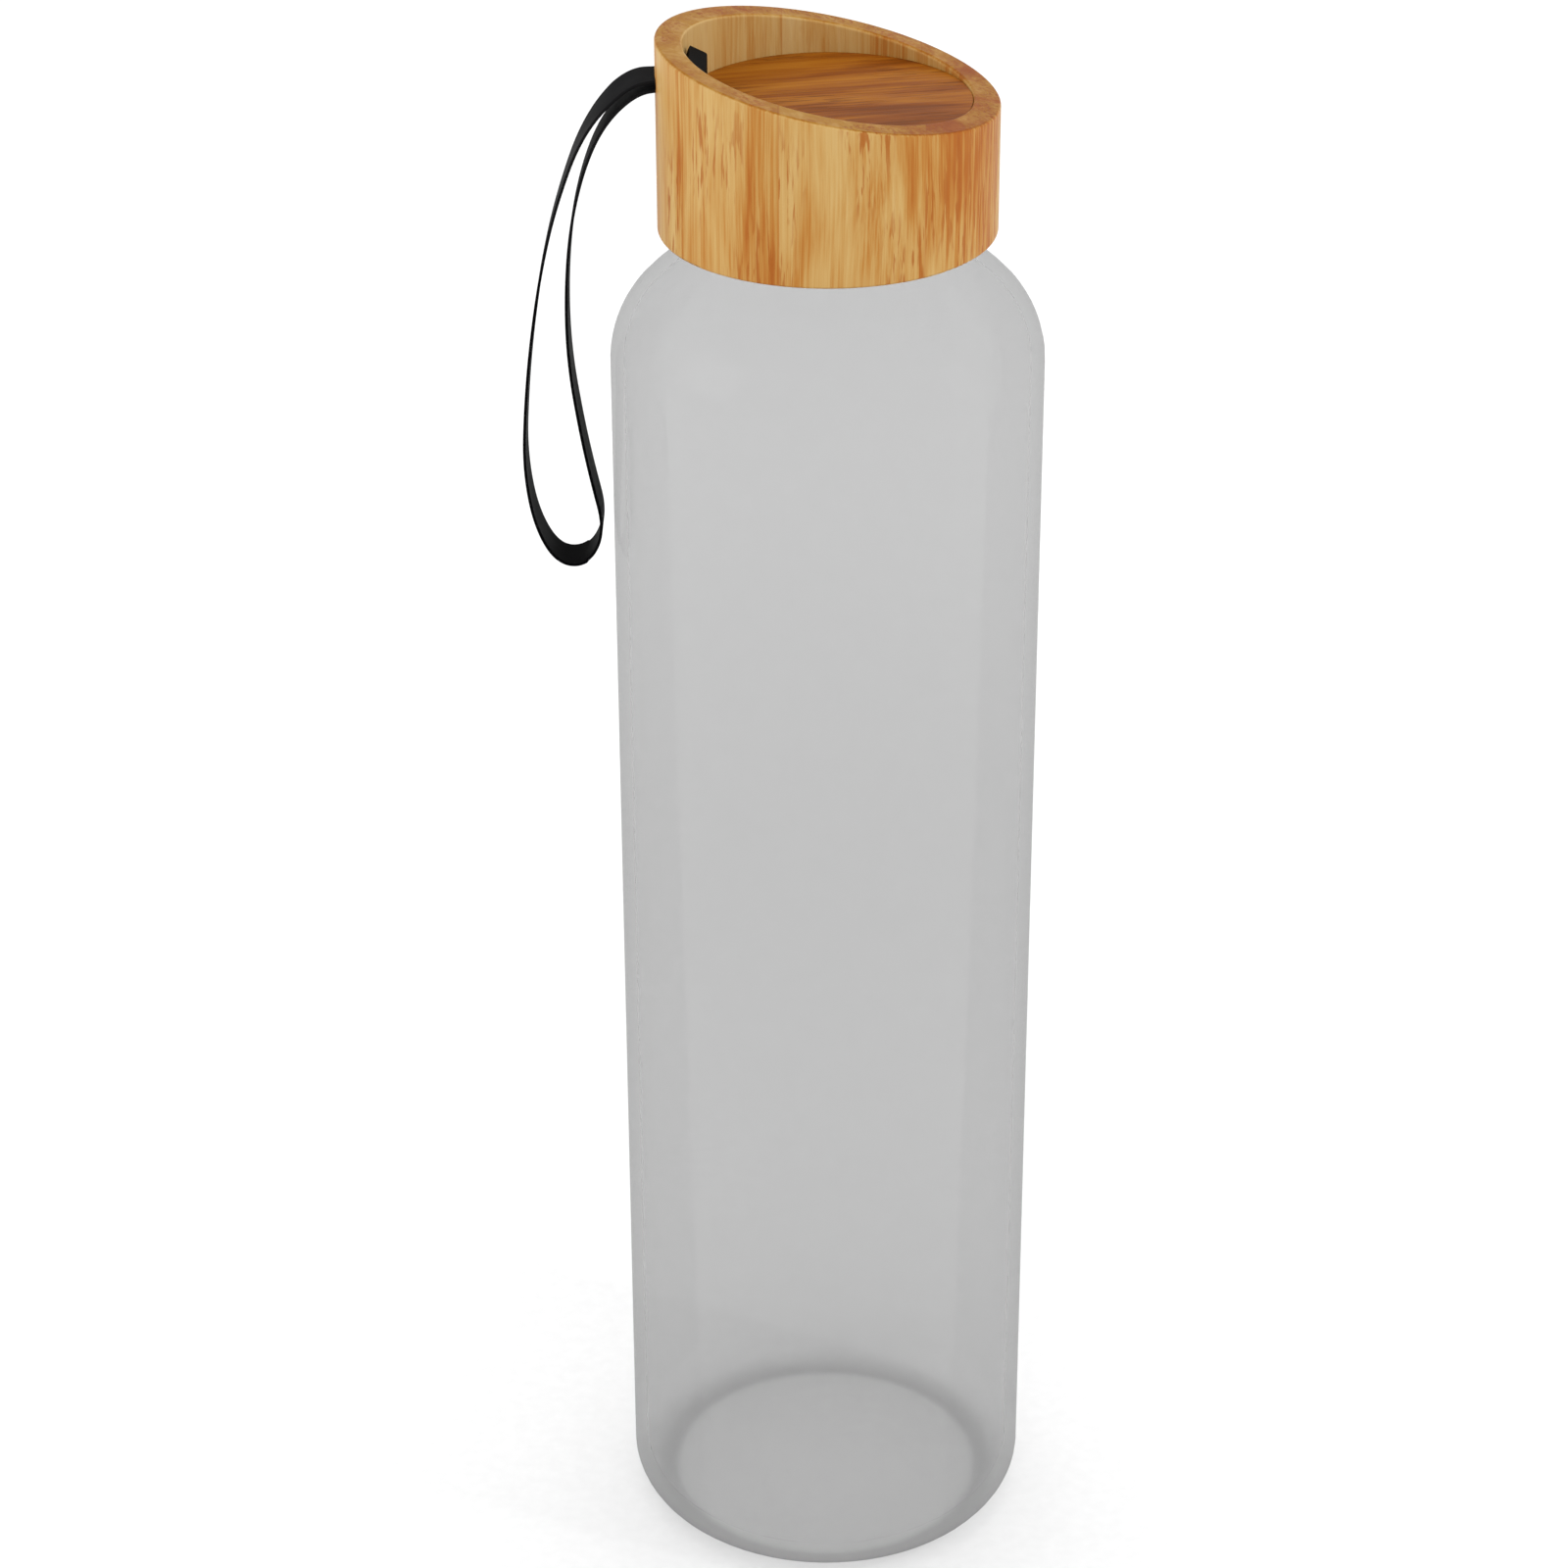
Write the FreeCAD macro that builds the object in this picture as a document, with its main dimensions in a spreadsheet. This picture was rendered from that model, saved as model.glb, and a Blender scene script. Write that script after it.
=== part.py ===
import FreeCAD, Part

import math
import os

import Sketcher

# A glass water bottle with a slanted wooden lid, a threaded plastic liner, a
# flat seal and a flat black carry strap.  Millimetres; +Z is up, the base rests
# on Z = 0 and the axis of the bottle is the Z axis.  The strap hangs at -X.

os.makedirs("parts", exist_ok=True)
doc = FreeCAD.newDocument("water_bottle")
sheet = doc.addObject("Spreadsheet::Sheet", "Sizes")

# Driving sizes in millimetres and degrees.
DRIVING = {
    # glass body
    "body_radius": 37.5,
    "glass_wall": 2.4,
    "base_thick": 4.0,
    "push_up": 1.4,
    "foot_inner": 22.0,
    "base_corner": 7.9,
    "straight_top": 235.7,
    "shoulder_radius": 18.75,
    "shoulder_angle": 48,
    "neck_radius": 22.7,
    "bore_radius": 20.1,
    "neck_top": 274.3,
    "neck_blend": 4.5,
    "bore_blend": 7.0,
    "lip_round": 0.9,
    # thread between neck and liner
    "thread_pitch": 4.0,
    "thread_rise": 6.0,
    "thread_base": 2.4,
    "thread_crest": 1.0,
    "thread_root_sink": 0.15,
    "neck_thread_radius": 23.95,
    "neck_thread_start": 263.4,
    "liner_thread_radius": 23.1,
    # wooden lid
    "lid_radius": 29.0,
    "lid_bottom": 259.4,
    "lid_top": 287.5,
    "lid_slope": 11.35,
    "lid_blank_top": 296.0,
    "socket_radius": 26.0,
    "socket_top": 278.1,
    "recess_radius": 24.4,
    "lid_edge_round": 0.5,
    "rim_round": 0.5,
    "floor_thick": 4.0,
    "glue_gap": 0.1,
    # liner and seal
    "liner_wall": 1.6,
    "liner_inset": 0.4,
    "seal_inner": 19.0,
    "seal_outer": 24.0,
    "seal_thick": 1.9,
    # strap
    "strap_width": 8.0,
    "strap_thick": 0.5,
    "strand_upper": 286.4,
    "strand_lower": 285.1,
    "strand_inner_end": 21.6,
    "strand_outer_end": 29.35,
    "strand_weld": 0.8,
    "strap_pivot": 30.6,
    "strap_room": 0.3,
    # stopper on the strap, inside the lid recess
    "stop_width": 10.0,
    "stop_front": 20.3,
    "stop_back_radius": 24.1,
    "stop_bottom": 282.4,
    "stop_blank_top": 291.0,
    "stop_front_top": 288.4,
    "stop_ridge_top": 289.8,
    "stop_ridge": 23.2,
    "stop_edge_round": 0.4,
}

# Sizes that follow from the driving ones.
DERIVED = {
    "inner_radius": "body_radius - glass_wall",
    "inner_corner": "base_corner - glass_wall",
    "inner_shoulder": "shoulder_radius - glass_wall",
    "inside_floor": "base_thick + push_up",
    "shoulder_apex": "straight_top + shoulder_radius * tan(shoulder_angle / 2 * 1 deg)",
    "inner_apex": "straight_top + inner_shoulder * tan(shoulder_angle / 2 * 1 deg)",
    "neck_apex": "shoulder_apex + (body_radius - neck_radius) / tan(shoulder_angle * 1 deg)",
    "bore_apex": "inner_apex + (inner_radius - bore_radius) / tan(shoulder_angle * 1 deg)",
    "neck_thread_root": "neck_radius - thread_root_sink",
    "liner_radius": "socket_radius - glue_gap",
    "liner_inner": "liner_radius - liner_wall",
    "liner_bottom": "lid_bottom + liner_inset",
    "liner_top": "socket_top - glue_gap",
    "liner_roof": "liner_top - liner_wall",
    "liner_thread_root": "liner_inner + thread_root_sink",
    "liner_thread_start": "neck_thread_start - thread_pitch / 2",
    "floor_radius": "recess_radius - glue_gap",
    "floor_bottom": "socket_top + glue_gap",
    "seal_bottom": "neck_top + glue_gap",
    "seal_top": "seal_bottom + seal_thick",
    "slot_bottom": "strand_lower - strap_thick / 2 - strap_room",
    "slot_top": "strand_upper + strap_thick / 2 + strap_room",
    "slot_width": "strap_width + 4 * strap_room",
    "stop_slot_width": "strap_width + 2 * strap_room",
    "stop_back_top": "stop_ridge_top - 2 * (stop_back_radius - stop_ridge)",
}

# Route of the strap centreline (X, Z): out of the slot on the upper strand,
# down the outer side, round the bottom and back up the inner side.
STRAP_ROUTE = [
    (-21.8, 286.4), (-27.6, 286.6), (-33.7, 285.1), (-41.0, 277.1), (-46.0, 264.4),
    (-48.9, 252.5), (-51.0, 239.6), (-52.3, 227.5), (-52.9, 216.1), (-51.3, 205.0),
    (-47.4, 197.7), (-41.9, 197.9), (-39.0, 204.2), (-41.2, 214.0), (-42.9, 223.2),
    (-44.6, 235.5), (-44.8, 247.8), (-43.7, 260.4), (-40.8, 270.9), (-37.0, 278.4),
    (-32.0, 283.5), (-27.4, 285.0), (-21.8, 285.1),
]

ARC_SHARE = 0.45      # share of the shorter run used by the arc at a point
VOLUME_SLACK = 0.01   # share by which the strap's volume may differ
NEAR = 0.01           # two measures closer than this are the same
SPARE = 5.0           # how far a cutting outline runs past the solid
ZERO = "zero"         # stands for a coordinate on an axis


def fill_sheet():
    """Write every size with its name, and give the value cell that name."""
    row = 1
    for alias, number in DRIVING.items():
        sheet.set(f"A{row}", alias)
        sheet.set(f"B{row}", str(number))
        sheet.setAlias(f"B{row}", alias)
        row += 1
    for alias, formula in DERIVED.items():
        sheet.set(f"A{row}", alias)
        sheet.set(f"B{row}", "=" + formula)
        sheet.setAlias(f"B{row}", alias)
        row += 1
    doc.recompute()


def size(alias):
    """Value of one size as a plain number."""
    return 0.0 if alias == ZERO else float(sheet.get(alias))


def cell(alias):
    """The same size as an expression."""
    return "Sizes." + alias


def new_body(name):
    body = doc.addObject("PartDesign::Body", name)
    body.Label = name
    return body


def new_sketch(body, name, plane):
    """Empty sketch on one of the body's own origin planes."""
    sketch = body.newObject("Sketcher::SketchObject", name)
    support = next(f for f in body.Origin.OriginFeatures if f.Role == plane)
    sketch.AttachmentSupport = (support, [""])
    sketch.MapMode = "FlatFace"
    return sketch


def draw_loop(sketch, corners):
    """Closed loop of straight lines through (u, v) corners."""
    points = [FreeCAD.Vector(u, v, 0) for u, v in corners]
    following = points[1:] + points[:1]
    for start, end in zip(points, following):
        sketch.addGeometry(Part.LineSegment(start, end), False)
    for i in range(len(points)):
        sketch.addConstraint(
            Sketcher.Constraint("Coincident", i, 2, (i + 1) % len(points), 1))


def bind_point(sketch, line, corner):
    """Hold the start of a line at a corner given by two named sizes."""
    for kind, alias, axis in (("DistanceX", corner[0], -2), ("DistanceY", corner[1], -1)):
        if alias == ZERO:
            sketch.addConstraint(Sketcher.Constraint("PointOnObject", line, 1, axis))
            continue
        index = sketch.addConstraint(Sketcher.Constraint(kind, -1, 1, line, 1, size(alias)))
        sketch.setExpression(f"Constraints[{index}]", cell(alias))


def polygon(body, name, plane, corners):
    """Closed straight-sided sketch whose corners follow the sheet."""
    sketch = new_sketch(body, name, plane)
    draw_loop(sketch, [(size(u), size(v)) for u, v in corners])
    for line, corner in enumerate(corners):
        bind_point(sketch, line, corner)
    return sketch


def revolve(body, sketch):
    """Full turn of the sketch about the Z axis."""
    turned = body.newObject("PartDesign::Revolution", sketch.Name + "_turned")
    turned.Profile = sketch
    turned.ReferenceAxis = (sketch, ["V_Axis"])
    turned.Angle = 360
    doc.recompute()
    return turned


def pad(body, sketch, alias):
    """Raise a sketch to the sheet's size, half of it on each side."""
    raised = body.newObject("PartDesign::Pad", sketch.Name + "_pad")
    raised.Profile = sketch
    raised.Midplane = True
    raised.setExpression("Length", cell(alias))
    doc.recompute()
    return raised


def pocket(body, sketch, alias, both_sides=False):
    """Cut a sketch into the body and make sure it removed something."""
    before = body.Shape.Volume
    cut = body.newObject("PartDesign::Pocket", sketch.Name + "_cut")
    cut.Profile = sketch
    cut.Midplane = both_sides
    cut.setExpression("Length", cell(alias))
    doc.recompute()
    if body.Shape.Volume >= before:
        raise RuntimeError("no material removed by " + cut.Name)
    return cut


def ring_edges(shape, radius, height):
    """Names of the circular edges with this radius at this height."""
    found = []
    for number, edge in enumerate(shape.Edges, start=1):
        circle = edge.Curve
        if not isinstance(circle, Part.Circle):
            continue
        if abs(circle.Radius - radius) < NEAR and abs(circle.Center.z - height) < NEAR:
            found.append(f"Edge{number}")
    return found


def fillet(body, name, edges, alias):
    """Round the named edges of the body's current tip."""
    if not edges:
        raise RuntimeError("no edge found for " + name)
    solid = body.Tip
    rounded = body.newObject("PartDesign::Fillet", name)
    rounded.Base = (solid, edges)
    rounded.setExpression("Radius", cell(alias))
    doc.recompute()
    return rounded


def fillet_ring(body, name, radius_alias, height_alias, alias):
    """Round the circular edge found at a radius and height."""
    edges = ring_edges(body.Shape, size(radius_alias), size(height_alias))
    return fillet(body, name, edges, alias)


def thread_ridge(body, name, root_alias, crest_alias, start_alias):
    """Helical ridge of trapezoid section round the Z axis, right-handed."""
    root = size(root_alias)
    crest = size(crest_alias)
    middle = size(start_alias)
    half_base = size("thread_base") / 2
    half_crest = size("thread_crest") / 2
    section = [
        (root, middle - half_base),
        (crest, middle - half_crest),
        (crest, middle + half_crest),
        (root, middle + half_base),
    ]
    sketch = new_sketch(body, name, "XZ_Plane")
    draw_loop(sketch, section)
    doc.recompute()
    before = body.Shape.Volume
    helix = body.newObject("PartDesign::AdditiveHelix", name + "_helix")
    helix.Profile = sketch
    helix.ReferenceAxis = (sketch, ["V_Axis"])
    helix.Mode = 0
    helix.setExpression("Pitch", cell("thread_pitch"))
    helix.setExpression("Height", cell("thread_rise"))
    helix.Angle = 0
    helix.LeftHanded = False
    helix.Reversed = False
    doc.recompute()
    if body.Shape.Volume <= before:
        raise RuntimeError("no thread added by " + helix.Name)


def route_pieces(points):
    """Straight runs joined by tangent arcs; returns the pieces and the arc radii."""
    vectors = [FreeCAD.Vector(x, z, 0) for x, z in points]
    pieces = []
    radii = []
    start = vectors[0]
    for before, corner, after in zip(vectors, vectors[1:], vectors[2:]):
        inward = corner - before
        outward = after - corner
        turn = inward.getAngle(outward)
        reach = ARC_SHARE * min(inward.Length, outward.Length)
        radius = reach / math.tan(turn / 2)
        inward.normalize()
        outward.normalize()
        side = 1 if inward.cross(outward).z > 0 else -1
        enter = corner - inward * reach
        leave = corner + outward * reach
        centre = enter + FreeCAD.Vector(-inward.y, inward.x, 0) * radius * side
        pieces.append(("run", start, enter, None))
        pieces.append(("arc", enter, leave, centre))
        radii.append(radius)
        start = leave
    pieces.append(("run", start, vectors[-1], None))
    return pieces, radii


def piece_edge(piece, offset):
    """One edge of the strap outline: the piece moved sideways by an offset."""
    kind, start, end, centre = piece
    if kind == "run":
        along = (end - start).normalize()
        shift = FreeCAD.Vector(-along.y, along.x, 0) * offset
        return Part.LineSegment(start + shift, end + shift)
    first = start - centre
    last = end - centre
    turn = first.cross(last).z
    radius = first.Length + (-offset if turn > 0 else offset)
    middle = (first + last).normalize() * radius
    first.normalize()
    last.normalize()
    return Part.Arc(centre + first * radius, centre + middle, centre + last * radius)


def draw_strap_outline(sketch, pieces):
    """Both faces of the strap and its two end caps, seen edge-on."""
    half = size("strap_thick") / 2
    ends = []
    for offset in (half, -half):
        edges = [piece_edge(piece, offset) for piece in pieces]
        for edge in edges:
            sketch.addGeometry(edge, False)
        ends.append((edges[0].StartPoint, edges[-1].EndPoint))
    (left_start, left_end), (right_start, right_end) = ends
    sketch.addGeometry(Part.LineSegment(left_start, right_start), False)
    sketch.addGeometry(Part.LineSegment(left_end, right_end), False)


def route_length(pieces):
    """Length of the strap's centreline."""
    total = 0.0
    for kind, start, end, centre in pieces:
        if kind == "run":
            total += start.distanceToPoint(end)
        else:
            angle = (start - centre).getAngle(end - centre)
            total += angle * start.distanceToPoint(centre)
    return total


def build_glass():
    """Body with a pushed-up base, rounded shoulder and threaded neck."""
    body = new_body("glass_body")
    corners = [
        (ZERO, "push_up"), ("foot_inner", ZERO), ("body_radius", ZERO),
        ("body_radius", "shoulder_apex"), ("neck_radius", "neck_apex"),
        ("neck_radius", "neck_top"), ("bore_radius", "neck_top"),
        ("bore_radius", "bore_apex"), ("inner_radius", "inner_apex"),
        ("inner_radius", "base_thick"), ("foot_inner", "base_thick"),
        (ZERO, "inside_floor"),
    ]
    revolve(body, polygon(body, "glass_section", "XZ_Plane", corners))
    rounds = [
        ("base_round", "body_radius", ZERO, "base_corner"),
        ("inner_base_round", "inner_radius", "base_thick", "inner_corner"),
        ("shoulder_round", "body_radius", "shoulder_apex", "shoulder_radius"),
        ("inner_shoulder_round", "inner_radius", "inner_apex", "inner_shoulder"),
        ("neck_round", "neck_radius", "neck_apex", "neck_blend"),
        ("bore_round", "bore_radius", "bore_apex", "bore_blend"),
        ("lip_outer_round", "neck_radius", "neck_top", "lip_round"),
        ("lip_inner_round", "bore_radius", "neck_top", "lip_round"),
    ]
    for name, radius_alias, height_alias, alias in rounds:
        fillet_ring(body, name, radius_alias, height_alias, alias)
    thread_ridge(body, "neck_thread", "neck_thread_root", "neck_thread_radius",
                 "neck_thread_start")
    return body


def build_lid_ring():
    """Wooden sleeve with a slanted top and a slot for the strap."""
    body = new_body("lid_ring")
    corners = [
        ("socket_radius", "lid_bottom"), ("lid_radius", "lid_bottom"),
        ("lid_radius", "lid_blank_top"), ("recess_radius", "lid_blank_top"),
        ("recess_radius", "socket_top"), ("socket_radius", "socket_top"),
    ]
    revolve(body, polygon(body, "ring_section", "XZ_Plane", corners))

    # the slanted top: everything above the plane goes
    reach = size("lid_radius") + SPARE
    fall = reach * math.tan(math.radians(size("lid_slope")))
    middle = size("lid_top")
    above = size("lid_blank_top") + SPARE
    slant = new_sketch(body, "slant", "XZ_Plane")
    draw_loop(slant, [(-reach, middle + fall), (reach, middle - fall),
                      (reach, above), (-reach, above)])
    pocket(body, slant, "lid_blank_top", both_sides=True)

    # the slot for the strap, through the wall at -X
    slot = new_sketch(body, "strap_slot", "YZ_Plane")
    half = size("slot_width") / 2
    low = size("slot_bottom")
    high = size("slot_top")
    flat = half - (high - low) / 2
    corners = [FreeCAD.Vector(y, z, 0) for y, z in
               ((-flat, low), (flat, low), (flat, high), (-flat, high))]
    ends = [FreeCAD.Vector(y, (low + high) / 2, 0) for y in (half, -half)]
    slot.addGeometry(Part.LineSegment(corners[0], corners[1]), False)
    slot.addGeometry(Part.Arc(corners[1], ends[0], corners[2]), False)
    slot.addGeometry(Part.LineSegment(corners[2], corners[3]), False)
    slot.addGeometry(Part.Arc(corners[3], ends[1], corners[0]), False)
    pocket(body, slot, "body_radius")

    rim = [f"Edge{number}" for number, edge in enumerate(body.Shape.Edges, start=1)
           if isinstance(edge.Curve, Part.Ellipse)
           and abs(edge.Curve.Center.z - middle) < NEAR]
    fillet(body, "rim_edges", rim, "rim_round")
    fillet_ring(body, "foot_edge", "lid_radius", "lid_bottom", "lid_edge_round")
    return body


def build_lid_floor():
    """Wooden disc that closes the recess."""
    disc = doc.addObject("Part::Cylinder", "lid_floor")
    disc.Label = "lid_floor"
    disc.setExpression("Radius", cell("floor_radius"))
    disc.setExpression("Height", cell("floor_thick"))
    disc.setExpression("Placement.Base.z", cell("floor_bottom"))
    return disc


def build_liner():
    """Plastic cup in the lid's socket, threaded inside."""
    body = new_body("lid_liner")
    corners = [
        ("liner_inner", "liner_bottom"), ("liner_radius", "liner_bottom"),
        ("liner_radius", "liner_top"), (ZERO, "liner_top"),
        (ZERO, "liner_roof"), ("liner_inner", "liner_roof"),
    ]
    revolve(body, polygon(body, "liner_section", "XZ_Plane", corners))
    thread_ridge(body, "liner_thread", "liner_thread_root", "liner_thread_radius",
                 "liner_thread_start")
    return body


def build_seal():
    """Flat ring that lies on the mouth of the glass."""
    body = new_body("seal_ring")
    corners = [
        ("seal_inner", "seal_bottom"), ("seal_outer", "seal_bottom"),
        ("seal_outer", "seal_top"), ("seal_inner", "seal_top"),
    ]
    revolve(body, polygon(body, "seal_section", "XZ_Plane", corners))
    return body


def build_strap_root():
    """The two strands in the slot, welded together at their inner end."""
    body = new_body("strap_root")
    half = size("strap_thick") / 2
    inner = -size("strand_inner_end")
    outer = -size("strand_outer_end")
    weld = inner - size("strand_weld")
    upper = size("strand_upper")
    lower = size("strand_lower")
    outline = [
        (outer, upper + half), (inner, upper + half), (inner, lower - half),
        (outer, lower - half), (outer, lower + half), (weld, lower + half),
        (weld, upper - half), (outer, upper - half),
    ]
    sketch = new_sketch(body, "strands", "XZ_Plane")
    draw_loop(sketch, outline)
    pad(body, sketch, "strap_width")
    return body


def build_strap_loop(pieces):
    """The hanging loop: the whole outline, less the part inside the pivot line."""
    body = new_body("strap_loop")
    sketch = new_sketch(body, "strap_outline", "XZ_Plane")
    draw_strap_outline(sketch, pieces)
    whole = pad(body, sketch, "strap_width")
    whole_volume = whole.Shape.Volume

    trim = new_sketch(body, "pivot_trim", "XZ_Plane")
    left = -size("strap_pivot")
    right = left + size("lid_radius")
    low = size("lid_bottom")
    high = size("lid_blank_top")
    draw_loop(trim, [(left, low), (right, low), (right, high), (left, high)])
    pocket(body, trim, "body_radius", both_sides=True)
    return body, whole_volume


def build_stopper():
    """Block that keeps the strap from pulling out of the slot."""
    body = new_body("strap_stop")
    half = size("stop_width") / 2
    front = -size("stop_front")
    back = size("stop_back_radius")
    back_side = -math.sqrt(back ** 2 - half ** 2)
    corners = [
        FreeCAD.Vector(front, half, 0), FreeCAD.Vector(front, -half, 0),
        FreeCAD.Vector(back_side, -half, 0), FreeCAD.Vector(back_side, half, 0),
    ]
    plan = new_sketch(body, "stop_plan", "XY_Plane")
    plan.addGeometry(Part.LineSegment(corners[0], corners[1]), False)
    plan.addGeometry(Part.LineSegment(corners[1], corners[2]), False)
    plan.addGeometry(Part.Arc(corners[2], FreeCAD.Vector(-back, 0, 0), corners[3]), False)
    plan.addGeometry(Part.LineSegment(corners[3], corners[0]), False)
    plan.AttachmentOffset = FreeCAD.Placement(
        FreeCAD.Vector(0, 0, size("stop_bottom")), FreeCAD.Rotation())
    block = body.newObject("PartDesign::Pad", "stop_block")
    block.Profile = plan
    block.setExpression("Length", "Sizes.stop_blank_top - Sizes.stop_bottom")
    doc.recompute()

    # ridge along the back, sloping down to the front
    above = size("stop_blank_top") + SPARE
    outline = [
        (-back - SPARE, size("stop_back_top")), (-back, size("stop_back_top")),
        (-size("stop_ridge"), size("stop_ridge_top")), (front, size("stop_front_top")),
        (front + SPARE, size("stop_front_top")), (front + SPARE, above),
        (-back - SPARE, above),
    ]
    top = new_sketch(body, "stop_top", "XZ_Plane")
    draw_loop(top, outline)
    pocket(body, top, "body_radius", both_sides=True)

    upright = [f"Edge{number}" for number, edge in enumerate(body.Shape.Edges, start=1)
               if all(abs(vertex.X - front) < NEAR for vertex in edge.Vertexes)]
    fillet(body, "stop_front_edges", upright, "stop_edge_round")

    # room for the welded strap end
    inner = -size("strand_inner_end") + size("strap_room")
    low = size("slot_bottom")
    high = size("slot_top")
    half_slot = size("stop_slot_width") / 2
    mouth = new_sketch(body, "stop_mouth", "YZ_Plane")
    draw_loop(mouth, [(-half_slot, low), (half_slot, low), (half_slot, high),
                      (-half_slot, high)])
    mouth.AttachmentOffset = FreeCAD.Placement(FreeCAD.Vector(0, 0, inner),
                                               FreeCAD.Rotation())
    pocket(body, mouth, "stop_width")
    return body


def check_document():
    """Stop when any object failed to compute."""
    for item in doc.Objects:
        if "Invalid" in item.State or "Error" in item.State:
            raise RuntimeError("object failed: " + item.Name)


def check_strap(pieces, radii, volume):
    """Print the bend radii and compare the strap's volume with its section."""
    length = route_length(pieces)
    expected = size("strap_width") * size("strap_thick") * length
    print("strap bend radii", [round(radius, 1) for radius in radii])
    print("strap length", round(length, 1), "volume", round(volume, 1),
          "section x length", round(expected, 1))
    if abs(volume - expected) > VOLUME_SLACK * expected:
        raise RuntimeError("strap volume does not follow its section")


def export(parts):
    """Write one STEP file for each solid and print its volume and box."""
    for part in parts:
        shape = part.Shape
        if shape.isNull() or not shape.isValid() or len(shape.Solids) != 1:
            raise RuntimeError("bad solid: " + part.Label)
        shape.exportStep("parts/" + part.Label + ".step")
        box = shape.BoundBox
        print(part.Label, "volume", round(shape.Volume, 1),
              "X", round(box.XMin, 2), round(box.XMax, 2),
              "Y", round(box.YMin, 2), round(box.YMax, 2),
              "Z", round(box.ZMin, 2), round(box.ZMax, 2))


fill_sheet()
strap_pieces, strap_radii = route_pieces(STRAP_ROUTE)
strap_loop, strap_volume = build_strap_loop(strap_pieces)
all_parts = [
    build_glass(),
    build_lid_ring(),
    build_lid_floor(),
    build_liner(),
    build_seal(),
    build_strap_root(),
    strap_loop,
    build_stopper(),
]
doc.recompute()
check_document()
check_strap(strap_pieces, strap_radii, strap_volume)
export(all_parts)
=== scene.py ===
import math

import bmesh
import bpy
from mathutils import Matrix, Vector


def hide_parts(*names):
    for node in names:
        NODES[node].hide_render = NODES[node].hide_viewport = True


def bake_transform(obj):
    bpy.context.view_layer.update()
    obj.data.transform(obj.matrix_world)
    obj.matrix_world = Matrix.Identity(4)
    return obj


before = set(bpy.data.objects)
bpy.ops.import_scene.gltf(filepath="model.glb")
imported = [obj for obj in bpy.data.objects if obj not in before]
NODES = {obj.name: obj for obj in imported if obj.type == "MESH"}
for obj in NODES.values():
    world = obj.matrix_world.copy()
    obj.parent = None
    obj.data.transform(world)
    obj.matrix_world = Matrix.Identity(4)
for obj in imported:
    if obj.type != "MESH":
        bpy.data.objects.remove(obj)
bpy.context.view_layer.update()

MM = 0.001

# ---------------------------------------------------------------- camera

CAMERA_PLACE = (0.0, -0.68999, 0.51958)
CAMERA_PITCH = math.radians(28.044)     # below the horizon
CAMERA_YAW = math.radians(-0.647)
CAMERA_ROLL = math.radians(-0.206)
CAMERA_LENS = 98.70                     # on a 36 mm sensor


def add_camera():
    level = Vector((math.sin(CAMERA_YAW), math.cos(CAMERA_YAW), 0))
    right = Vector((math.cos(CAMERA_YAW), -math.sin(CAMERA_YAW), 0))
    up_axis = Vector((0, 0, 1))
    look = level * math.cos(CAMERA_PITCH) - up_axis * math.sin(CAMERA_PITCH)
    up = level * math.sin(CAMERA_PITCH) + up_axis * math.cos(CAMERA_PITCH)
    turned_right = right * math.cos(CAMERA_ROLL) + up * math.sin(CAMERA_ROLL)
    turned_up = up * math.cos(CAMERA_ROLL) - right * math.sin(CAMERA_ROLL)
    rotation = Matrix((turned_right, turned_up, -look)).transposed()
    data = bpy.data.cameras.new("camera")
    data.lens = CAMERA_LENS
    data.sensor_width = 36.0
    data.clip_start = 0.01
    camera = bpy.data.objects.new("camera", data)
    camera.matrix_world = Matrix.Translation(CAMERA_PLACE) @ rotation.to_4x4()
    bpy.context.scene.collection.objects.link(camera)
    bpy.context.scene.camera = camera


# ---------------------------------------------------------------- node helpers


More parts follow.
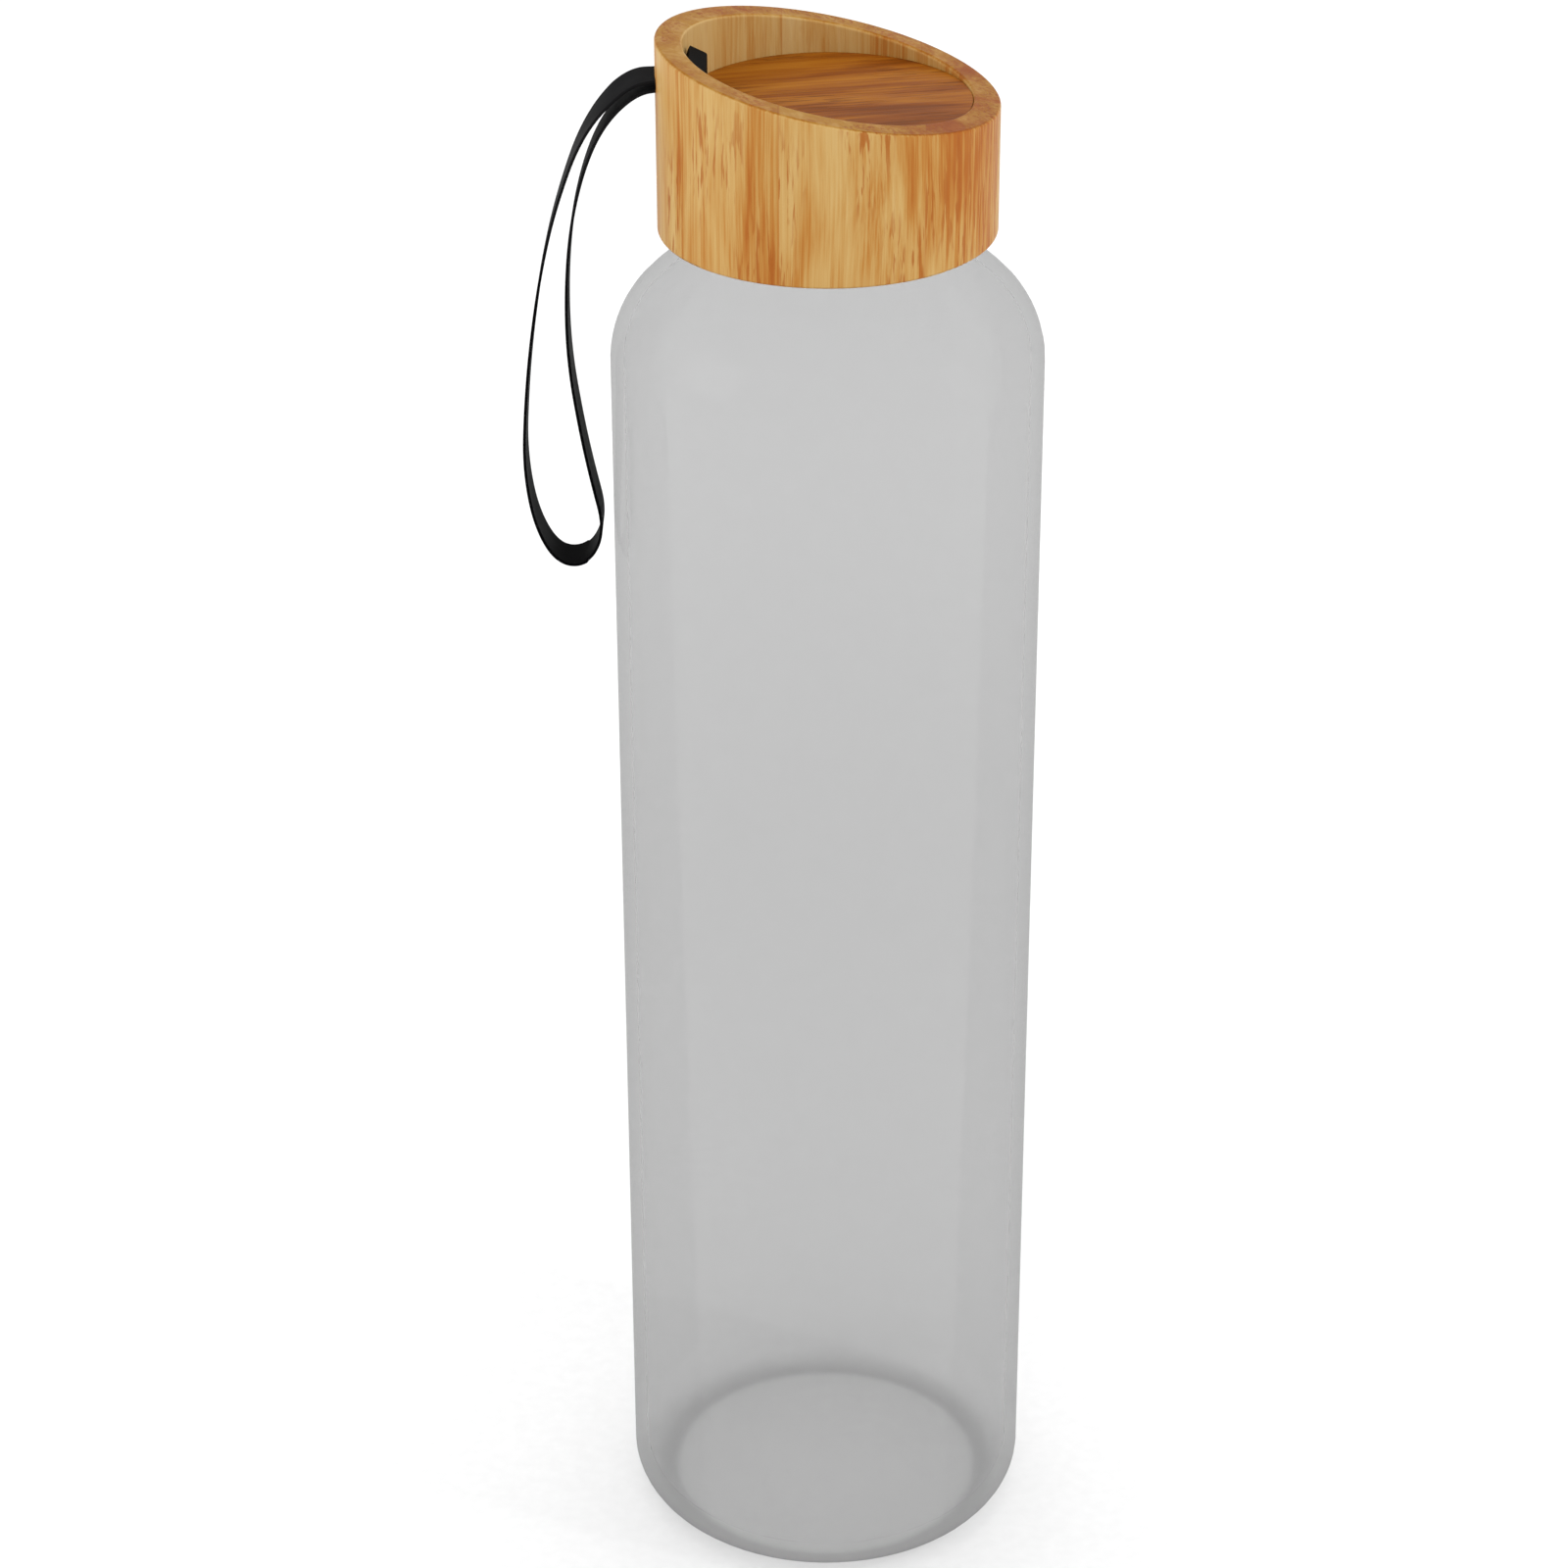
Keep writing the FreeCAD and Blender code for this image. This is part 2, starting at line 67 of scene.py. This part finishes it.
class Shader:
    """A material's node tree with short calls for the nodes used here."""

    def __init__(self, name):
        self.material = bpy.data.materials.new(name)
        self.material.use_nodes = True
        self.tree = self.material.node_tree
        self.tree.nodes.clear()
        self.bsdf = self.add("ShaderNodeBsdfPrincipled")
        self.output = self.add("ShaderNodeOutputMaterial")
        self.link(self.bsdf.outputs["BSDF"], self.output.inputs["Surface"])
        self.coords = self.add("ShaderNodeTexCoord").outputs["Object"]

    def add(self, kind, **settings):
        node = self.tree.nodes.new(kind)
        for name, value in settings.items():
            setattr(node, name, value)
        return node

    def link(self, source, target):
        self.tree.links.new(source, target)

    def feed(self, value, socket):
        """Link an output, or set a plain value."""
        if isinstance(value, bpy.types.NodeSocket):
            self.link(value, socket)
        else:
            socket.default_value = value

    def set(self, **values):
        """Plain values on the Principled sockets; underscores stand for spaces."""
        for name, value in values.items():
            self.bsdf.inputs[name.replace("_", " ")].default_value = value

    def mapping(self, scale, rotation=(0, 0, 0), source=None):
        """Coordinates of the object, in metres, or another vector, scaled and turned."""
        node = self.add("ShaderNodeMapping")
        self.link(source or self.coords, node.inputs["Vector"])
        node.inputs["Scale"].default_value = scale
        node.inputs["Rotation"].default_value = rotation
        return node.outputs["Vector"]

    def noise(self, vector, detail=3.0, roughness=0.55, distortion=0.0, colour=False):
        node = self.add("ShaderNodeTexNoise")
        self.link(vector, node.inputs["Vector"])
        node.inputs["Scale"].default_value = 1.0
        node.inputs["Detail"].default_value = detail
        node.inputs["Roughness"].default_value = roughness
        node.inputs["Distortion"].default_value = distortion
        return node.outputs["Color" if colour else "Fac"]

    def math(self, operation, a, b=0.0, clamp=False):
        node = self.add("ShaderNodeMath", operation=operation, use_clamp=clamp)
        self.feed(a, node.inputs[0])
        self.feed(b, node.inputs[1])
        return node.outputs[0]

    def vector_math(self, operation, a, b):
        node = self.add("ShaderNodeVectorMath", operation=operation)
        self.feed(a, node.inputs[0])
        self.feed(b, node.inputs[1])
        return node.outputs[0]

    def length(self, vector):
        node = self.add("ShaderNodeVectorMath", operation="LENGTH")
        self.link(vector, node.inputs[0])
        return node.outputs["Value"]

    def split(self, vector):
        node = self.add("ShaderNodeSeparateXYZ")
        self.link(vector, node.inputs[0])
        return node.outputs

    def span(self, value, low, high, to_low=0.0, to_high=1.0):
        """Goes smoothly from one value to another while the input goes from low to high."""
        node = self.add("ShaderNodeMapRange", clamp=True)
        node.interpolation_type = "SMOOTHSTEP"
        self.link(value, node.inputs["Value"])
        node.inputs["From Min"].default_value = low
        node.inputs["From Max"].default_value = high
        node.inputs["To Min"].default_value = to_low
        node.inputs["To Max"].default_value = to_high
        return node.outputs["Result"]

    def ramp(self, value, stops):
        node = self.add("ShaderNodeValToRGB")
        self.link(value, node.inputs["Fac"])
        elements = node.color_ramp.elements
        while len(elements) < len(stops):
            elements.new(0.5)
        for element, (place, colour) in zip(elements, stops):
            element.position = place
            element.color = (*colour, 1.0)
        return node.outputs["Color"]

    def mix(self, factor, a, b, blend="MIX"):
        node = self.add("ShaderNodeMix", data_type="RGBA", blend_type=blend)
        self.feed(factor, node.inputs["Factor"])
        for value, name in ((a, "A"), (b, "B")):
            socket = next(s for s in node.inputs if s.name == name and s.type == "RGBA")
            if isinstance(value, tuple):
                value = (*value, 1.0)
            self.feed(value, socket)
        return next(s for s in node.outputs if s.type == "RGBA")

    def bump(self, height, strength, distance):
        node = self.add("ShaderNodeBump")
        node.inputs["Strength"].default_value = strength
        node.inputs["Distance"].default_value = distance
        self.link(height, node.inputs["Height"])
        return node.outputs["Normal"]

    def finish(self, colour=None, roughness=None, normal=None):
        """Feed the main sockets that are given, and hand over the material."""
        for value, name in ((colour, "Base Color"), (roughness, "Roughness"), (normal, "Normal")):
            if value is not None:
                self.feed(value, self.bsdf.inputs[name])
        return self.material


def linear(red, green, blue):
    """A colour given in 0-255 screen values, as linear light."""
    def one(value):
        value /= 255
        return value / 12.92 if value <= 0.04045 else ((value + 0.055) / 1.055) ** 2.4
    return (one(red), one(green), one(blue))


# ---------------------------------------------------------------- materials

INNER_FACE = (24.5, 27.5)            # mm, radius over which the ring's inner face begins
END_GRAIN = (0.66, 0.49, 0.17)       # multiplies the wood's colour

# middles of the glass walls, which part the outer faces from the inner ones, in mm
SHOULDER_CENTRE = (18.75, 235.7)     # radius and height of the shoulder arc's centre
SHOULDER_MIDDLE = 17.3               # radius of the arc
SHOULDER_ANGLE = math.radians(48)    # where the arc ends and the wall runs on straight
NECK_MIDDLE = 21.4
BASE_MIDDLE = 3.7
UNDERSIDE_EDGE = (28.5, 31.0)        # radii over which the underside ends
CORNER_HEIGHT = (0.3, 3.4)           # heights and radii over which the corner between
CORNER_RADIUS = (27.5, 31.5)         # the underside and the side begins

GLASS_WALL = 0.71                    # share of light let through one wall, seen straight on
LAMP_WALL = 0.91                     # the same for the light of lamps
# the small step between 0.380 and 0.395 is a painted reflection: it draws the faint vertical edge
# of a reflected band on each side of the wall
GLASS_FACING = [                     # how that share falls as the wall is seen edge on
    (0.34, 1.0), (0.380, 0.997), (0.395, 0.980), (0.56, 0.972), (0.70, 0.955), (0.76, 0.94),
    (0.83, 0.92), (0.88, 0.90), (1.0, 0.80),
]
GLASS_UNDER = 0.71                   # colour of the underside
# colour of the corner between the underside and the side, by how edge on it is seen: its thick
# glass, and painted shade standing for the floor's contact shadow under it
GLASS_CORNER = [(0.55, 0.54), (0.85, 0.40), (1.0, 0.18)]


def wood(name, tones, dark, turn=(0, 0, 0), board=24.0, seam_shift=8.0, pores=0.8,
         end_grain=0.0, right=0.0, inside=(0.0, 0.0), gloss=0.0):
    """Oiled wood with its grain along the Z axis of a frame turned by `turn`, in mm.

    tones: ramp of the figure's colours; dark: colour of the pores
    board, seam_shift: width of the glued boards, and where the first seam lies
    pores, end_grain, gloss: strengths, 0 to 1
    right: shift in tone towards +X; inside: the same on the inner face, at -X and at +X, where
    the lift at -X is a painted highlight
    """
    s = Shader(name)
    grain = s.mapping((1000, 1000, 1000), rotation=turn)
    # slow waviness of the fibres
    drift = s.noise(s.mapping((0.05, 0.05, 0.014), source=grain), detail=1, colour=True)
    drift = s.vector_math("SUBTRACT", drift, (0.5, 0.5, 0.5))
    drift = s.vector_math("MULTIPLY", drift, (4.0, 4.0, 0.0))
    fibre = s.vector_math("ADD", grain, drift)
    # glued boards: each one is shifted, so its figure differs from its neighbour's
    x = s.split(grain)["X"]
    place = s.math("DIVIDE", s.math("ADD", x, seam_shift), board)
    own = s.add("ShaderNodeTexWhiteNoise", noise_dimensions="1D")
    s.link(s.math("FLOOR", place), own.inputs["W"])
    shift = s.vector_math("MULTIPLY", own.outputs["Color"], (70.0, 70.0, 400.0))
    fibre = s.vector_math("ADD", fibre, shift)
    # broad figure, streaks and fine fibres
    figure = s.noise(s.mapping((0.10, 0.10, 0.016), source=fibre), detail=3, distortion=0.4)
    streak = s.noise(s.mapping((1.2, 1.2, 0.020), source=fibre), detail=3, roughness=0.6)
    fine = s.noise(s.mapping((3.2, 3.2, 0.07), source=fibre), detail=3, roughness=0.6)
    tone = s.math("ADD", s.math("MULTIPLY", figure, 0.58), s.math("MULTIPLY", streak, 0.26))
    tone = s.math("ADD", tone, s.math("MULTIPLY", fine, 0.16))
    # each board has its own tone, and the sides differ a little
    own_tone = s.math("MULTIPLY", s.math("SUBTRACT", own.outputs["Value"], 0.5), 0.05)
    own_tone = s.math("ADD", own_tone, s.span(x, 4.0, 14.0, 0.0, right))
    # on the inner face a painted highlight lightens the tone towards -X, and the tone falls
    # towards +X
    inner = s.span(s.length(s.vector_math("MULTIPLY", grain, (1.0, 1.0, 0.0))),
                   INNER_FACE[0], INNER_FACE[1], 1.0, 0.0)
    own_tone = s.math("ADD", own_tone, s.math("MULTIPLY", inner, s.span(x, -18.0, 12.0, *inside)))
    colour = s.ramp(s.math("ADD", tone, own_tone), tones)
    # darker pores and short dashes along the grain, fewer on the inner face
    dash = s.noise(s.mapping((1.6, 1.6, 0.14), source=fibre), detail=2, roughness=0.55)
    patch = s.noise(s.mapping((0.09, 0.09, 0.030), source=fibre), detail=1)
    dash = s.math("MULTIPLY", s.span(dash, 0.52, 0.62), s.span(patch, 0.41, 0.57))
    dash = s.math("MULTIPLY", dash, s.span(inner, 0.0, 1.0, 1.0, 0.15))
    colour = s.mix(s.math("MULTIPLY", dash, pores), colour, dark)
    # glue line between the boards
    from_middle = s.math("ABSOLUTE", s.math("SUBTRACT", s.math("FRACT", place), 0.5))
    line = s.span(from_middle, 0.490, 0.5)
    colour = s.mix(s.math("MULTIPLY", line, 0.4), colour, tones[0][1])
    # end grain soaks up more oil and looks darker; this darkening of the faces turned up or down
    # is also painted shade on the top of the ring
    rise = s.split(s.add("ShaderNodeTexCoord").outputs["Normal"])["Z"]
    end = s.span(s.math("ABSOLUTE", rise), 0.5, 0.95, 0.0, end_grain)
    mottle = s.noise(s.mapping((0.35, 0.35, 0.35), source=grain), detail=3, distortion=0.6)
    end = s.math("MULTIPLY", end, s.span(mottle, 0.36, 0.62, 0.72, 1.1))
    colour = s.mix(end, colour, END_GRAIN, blend="MULTIPLY")
    rough = s.span(fine, 0.3, 0.7, 0.36, 0.48)
    normal = s.bump(s.math("SUBTRACT", fine, s.math("MULTIPLY", dash, 0.8)), 0.25, 0.0001)
    s.set(Specular_IOR_Level=0.05, Coat_Weight=gloss, Coat_Roughness=0.32)
    return s.finish(colour, rough, normal)


def side_wood():
    tones = [
        (0.38, linear(162, 94, 34)),
        (0.44, linear(174, 120, 56)),
        (0.49, linear(183, 141, 80)),
        (0.55, linear(190, 154, 95)),
        (0.66, linear(196, 166, 112)),
    ]
    return wood("wood_upright", tones, linear(156, 86, 30), end_grain=1.0, right=-0.02,
                inside=(0.09, -0.04), gloss=0.04)


def floor_wood():
    tones = [
        (0.40, linear(110, 55, 6)),
        (0.46, linear(130, 68, 12)),
        (0.53, linear(152, 90, 20)),
        (0.66, linear(172, 112, 34)),
    ]
    return wood("wood_across", tones, linear(104, 54, 10), board=26.0, seam_shift=4.0,
                pores=0.7, turn=(math.radians(90), math.radians(-78), 0))


def outer_faces(s):
    """Where the outer side, the underside and the corner between them are, 0 to 1 each."""
    x, y, z = s.split(s.mapping((1000, 1000, 1000)))
    radius = s.math("SQRT", s.math("ADD", s.math("MULTIPLY", x, x), s.math("MULTIPLY", y, y)))
    out = s.math("MAXIMUM", s.math("SUBTRACT", radius, SHOULDER_CENTRE[0]), 0.0)
    up = s.math("MAXIMUM", s.math("SUBTRACT", z, SHOULDER_CENTRE[1]), 0.0)
    # beyond the arc the wall runs on straight, at the shoulder's angle
    on = s.math("SUBTRACT", s.math("MULTIPLY", up, math.cos(SHOULDER_ANGLE)),
                s.math("MULTIPLY", out, math.sin(SHOULDER_ANGLE)))
    on = s.math("MAXIMUM", on, 0.0)
    square = s.math("ADD", s.math("MULTIPLY", out, out), s.math("MULTIPLY", up, up))
    reach = s.math("SQRT", s.math("SUBTRACT", square, s.math("MULTIPLY", on, on)))
    side = s.math("MULTIPLY", s.math("GREATER_THAN", reach, SHOULDER_MIDDLE),
                  s.math("GREATER_THAN", radius, NECK_MIDDLE))
    low = s.math("LESS_THAN", z, BASE_MIDDLE)
    inward = s.span(radius, *UNDERSIDE_EDGE, 1.0, 0.0)
    corner = s.math("MULTIPLY", s.span(z, *CORNER_HEIGHT, 1.0, 0.0),
                    s.span(radius, *CORNER_RADIUS))
    return s.math("MAXIMUM", side, low), s.math("MULTIPLY", low, inward), corner


def glass():
    """Thin smooth grey glass, tinted at its outer faces only; lamps shine through it."""
    s = Shader("grey_glass")
    s.set(Roughness=0.02, IOR=1.003, Transmission_Weight=1.0, Coat_Weight=0.1,
          Coat_Roughness=0.05, Coat_IOR=1.45)
    outer, under, corner = outer_faces(s)
    view = s.add("ShaderNodeLayerWeight")
    view.inputs["Blend"].default_value = 0.5
    facing = view.outputs["Facing"]
    # light passes a face by the square root of its base colour
    # the ramp's step near 0.39 paints the edge of a reflected band; the rest darkens the wall as
    # it is seen edge on
    tone = s.ramp(facing, [(f, ((t * GLASS_WALL) ** 2,) * 3) for f, t in GLASS_FACING])
    colour = s.mix(outer, (1, 1, 1), tone)
    colour = s.mix(under, colour, (GLASS_UNDER,) * 3)
    # the corner is darkened for its thick glass and by painted contact shade of the floor beneath
    # it
    thick_and_shaded = s.ramp(facing, [(f, (t, t, t)) for f, t in GLASS_CORNER])
    colour = s.mix(corner, colour, thick_and_shaded)
    wave = s.noise(s.mapping((60, 60, 25)), detail=2)
    s.link(s.bump(wave, 0.03, 0.0003), s.bsdf.inputs["Coat Normal"])
    material = s.finish(colour)
    lit = s.add("ShaderNodeBsdfTransparent")
    cast = s.ramp(facing, [(f, (LAMP_WALL * t,) * 3) for f, t in GLASS_FACING])
    shaded = s.math("SUBTRACT", outer, under, clamp=True)
    s.link(s.mix(shaded, (1, 1, 1), cast), lit.inputs["Color"])
    ray = s.add("ShaderNodeLightPath")
    choose = s.add("ShaderNodeMixShader")
    s.link(ray.outputs["Is Shadow Ray"], choose.inputs["Fac"])
    s.link(s.bsdf.outputs["BSDF"], choose.inputs[1])
    s.link(lit.outputs["BSDF"], choose.inputs[2])
    s.link(choose.outputs["Shader"], s.output.inputs["Surface"])
    return material


def liner_plastic():
    s = Shader("liner_plastic")
    s.set(Base_Color=(*linear(226, 224, 216), 1), Subsurface_Weight=0.1,
          Subsurface_Scale=0.002)
    grain = s.noise(s.mapping((2500, 2500, 2500)), detail=2)
    return s.finish(roughness=s.span(grain, 0.3, 0.7, 0.38, 0.5),
                    normal=s.bump(grain, 0.1, 0.00004))


def silicone():
    s = Shader("seal_silicone")
    s.set(Base_Color=(*linear(224, 228, 228), 1), Transmission_Weight=0.35,
          Subsurface_Weight=0.25, Subsurface_Scale=0.002)
    grain = s.noise(s.mapping((1800, 1800, 1800)), detail=2)
    return s.finish(roughness=s.span(grain, 0.3, 0.7, 0.42, 0.55),
                    normal=s.bump(grain, 0.08, 0.00004))


def black_rubber(name, scale, painted_top_light):
    """Smooth matte black with a fine moulded grain, with painted light that makes it paler
    towards the top.
    """
    s = Shader(name)
    s.set(Specular_IOR_Level=0.03, IOR=1.3)
    grain = s.noise(s.mapping((scale, scale, scale)), detail=3)
    cloud = s.noise(s.mapping((90, 90, 60)), detail=2)
    colour = s.ramp(cloud, [(0.3, linear(3, 3, 4)), (0.7, linear(7, 7, 8))])
    # painted light: the colour turns paler from 0.235 m up to 0.280 m, and the lower, darker part
    # is painted shade
    colour = s.mix(s.span(s.split(s.coords)["Z"], 0.235, 0.280), colour, painted_top_light)
    rough = s.span(cloud, 0.3, 0.7, 0.50, 0.62)
    return s.finish(colour, rough, s.bump(grain, 0.15, 0.00005))


def floor_surface():
    """White paper, with painted shade that darkens it near the bottle and painted light that
    brightens it farther out.
    """
    s = Shader("floor_paper")
    s.set(Roughness=0.7)
    grain = s.noise(s.mapping((400, 400, 400)), detail=2)
    paper = s.ramp(grain, [(0.3, (0.91, 0.91, 0.91)), (0.7, (0.94, 0.94, 0.94))])
    # painted shade and light: the paper is darkened within 0.20 m of the bottle and brightened
    # beyond 0.55 m
    near = s.span(s.length(s.coords), 0.20, 0.55, 0.93, 1.04)
    shade = s.add("ShaderNodeCombineColor")
    for socket in shade.inputs:
        s.link(near, socket)
    return s.finish(s.mix(1.0, paper, shade.outputs["Color"], blend="MULTIPLY"))


# ---------------------------------------------------------------- strap

# Route of the strap's centreline (X, Z) in millimetres. It is the solid model's, but for
# five points near the lid, which lie up to 0.7 mm further out.
STRAP_ROUTE = [
    (-21.8, 286.4), (-27.6, 286.6), (-34.0, 285.7), (-41.2, 277.5), (-46.0, 264.4),
    (-48.9, 252.5), (-51.0, 239.6), (-52.3, 227.5), (-52.9, 216.1), (-51.3, 205.0),
    (-47.4, 197.7), (-41.9, 197.9), (-39.0, 204.2), (-41.2, 214.0), (-42.9, 223.2),
    (-44.6, 235.5), (-44.8, 247.8), (-43.7, 260.4), (-41.1, 271.1), (-37.5, 278.9),
    (-32.1, 284.2), (-27.4, 285.0), (-21.8, 285.1),
]
STRAP_WIDTH = 8.0 * MM
STRAP_THICK = 0.5 * MM
STRAP_EDGE = 0.18 * MM
# The upper strand is twisted outside the lid, between these places along X.
TWIST = math.radians(8)
TWIST_FROM = -29.4 * MM      # the mouth of the slot
TWIST_FULL = -36.0 * MM
TWIST_TO = -47.0 * MM


def strap_line():
    """Points along the NURBS spline through the route."""
    data = bpy.data.curves.new("strap_route", "CURVE")
    data.dimensions = "3D"
    data.resolution_u = 14
    spline = data.splines.new("NURBS")
    spline.points.add(len(STRAP_ROUTE) - 1)
    for point, (x, z) in zip(spline.points, STRAP_ROUTE):
        point.co = (x * MM, 0.0, z * MM, 1.0)
    spline.order_u = 3
    spline.use_endpoint_u = True
    holder = bpy.data.objects.new("strap_route", data)
    bpy.context.scene.collection.objects.link(holder)
    bpy.context.view_layer.update()
    mesh = bpy.data.meshes.new_from_object(holder)
    points = [v.co.copy() for v in mesh.vertices]
    bpy.data.objects.remove(holder)
    return points


def strap_section():
    """Flat section with rounded edges: (across, through) offsets in metres."""
    half = STRAP_WIDTH / 2
    thick = STRAP_THICK / 2
    across = [-half + STRAP_EDGE * k for k in (0.0, 0.3, 1.0, 2.2)]
    through = [thick * k for k in (0.35, 0.78, 1.0, 1.0)]
    inner = [half * k for k in (-0.6, -0.3, 0.0, 0.3, 0.6)]
    top = list(zip(across, through)) + [(a, thick) for a in inner]
    top += [(-a, t) for a, t in reversed(list(zip(across, through)))]
    return top + [(a, -t) for a, t in reversed(top)]


def strap_twist(place, upper):
    """How far the section is turned about the route here, raising its +Y edge, in radians."""
    if not upper or place.x > TWIST_FROM:
        return 0.0
    if place.x > TWIST_FULL:
        return TWIST * (TWIST_FROM - place.x) / (TWIST_FROM - TWIST_FULL)
    return TWIST * max(0.0, (place.x - TWIST_TO) / (TWIST_FULL - TWIST_TO))


def ribbon(name, line, section):
    """Sweep the section along the line, with its width along Y but for the twist."""
    mesh = bpy.data.meshes.new(name)
    bm = bmesh.new()
    rings = []
    for i, point in enumerate(line):
        ahead = line[min(i + 1, len(line) - 1)]
        behind = line[max(i - 1, 0)]
        along = (ahead - behind).normalized()
        twist = strap_twist(point, i < len(line) / 2)
        across = Vector((0, math.cos(twist), math.sin(twist)))
        through = along.cross(across).normalized()
        rings.append([bm.verts.new(point + across * a + through * t) for a, t in section])
    count = len(section)
    for first, second in zip(rings, rings[1:]):
        for k in range(count):
            n = (k + 1) % count
            bm.faces.new((first[k], first[n], second[n], second[k]))
    bm.faces.new(rings[0][::-1])
    bm.faces.new(rings[-1])
    bmesh.ops.recalc_face_normals(bm, faces=bm.faces)
    bm.to_mesh(mesh)
    bm.free()
    mesh.polygons.foreach_set("use_smooth", [True] * len(mesh.polygons))
    piece = bpy.data.objects.new(name, mesh)
    bpy.context.scene.collection.objects.link(piece)
    return piece


def add_strap():
    line = strap_line()
    piece = ribbon("carry_strap", line, strap_section())
    piece.data.materials.append(black_rubber("strap_black", 900, linear(22, 22, 23)))
    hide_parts("strap_root", "strap_loop")
    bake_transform(piece)


# ---------------------------------------------------------------- stage


def add_floor():
    mesh = bpy.data.meshes.new("floor")
    reach = 4.0
    low = -0.0004       # clear of the base, so that the two never share a plane
    mesh.from_pydata([(-reach, -reach, low), (reach, -reach, low), (reach, reach, low),
                      (-reach, reach, low)], [], [(0, 1, 2, 3)])
    floor = bpy.data.objects.new("floor", mesh)
    bpy.context.scene.collection.objects.link(floor)
    mesh.materials.append(floor_surface())


def add_light(name, place, target, size, power, mirrored=True):
    data = bpy.data.lights.new(name, "AREA")
    data.shape = "RECTANGLE"
    data.size, data.size_y = size
    data.energy = power
    light = bpy.data.objects.new(name, data)
    light.location = place
    light.visible_glossy = mirrored
    aim = Vector(target) - Vector(place)
    light.rotation_euler = aim.to_track_quat("-Z", "Y").to_euler()
    bpy.context.scene.collection.objects.link(light)


def around(azimuth, elevation, distance):
    """A place seen from the middle of the bottle; azimuth counts from +X."""
    turn = math.radians(azimuth)
    rise = math.radians(elevation)
    flat = distance * math.cos(rise)
    return (flat * math.cos(turn), flat * math.sin(turn), 0.16 + distance * math.sin(rise))


def add_lights():
    middle = (0, 0, 0.16)
    add_light("key", around(-23, 40, 1.6), middle, (0.06, 0.06), 6, mirrored=False)
    add_light("right", around(-14, 18, 1.3), middle, (0.35, 0.7), 1.0)
    add_light("left", around(200, 25, 1.4), middle, (0.8, 0.9), 6)
    world = bpy.data.worlds.new("studio")
    world.use_nodes = True
    shade = world.node_tree.nodes["Background"]
    shade.inputs["Color"].default_value = (1, 1, 1, 1)
    shade.inputs["Strength"].default_value = 1.0
    bpy.context.scene.world = world
    bpy.context.scene.view_settings.view_transform = "Standard"


# ---------------------------------------------------------------- assembly


def dress(node, material):
    """Give a solid of the frame its finished material."""
    for slot in NODES[node].material_slots:
        slot.material = material


add_camera()
add_strap()
dress("glass_body", glass())
dress("lid_ring", side_wood())
dress("lid_floor", floor_wood())
dress("lid_liner", liner_plastic())
dress("seal_ring", silicone())
dress("strap_stop", black_rubber("stopper_black", 1400, linear(12, 12, 12)))
add_floor()
add_lights()
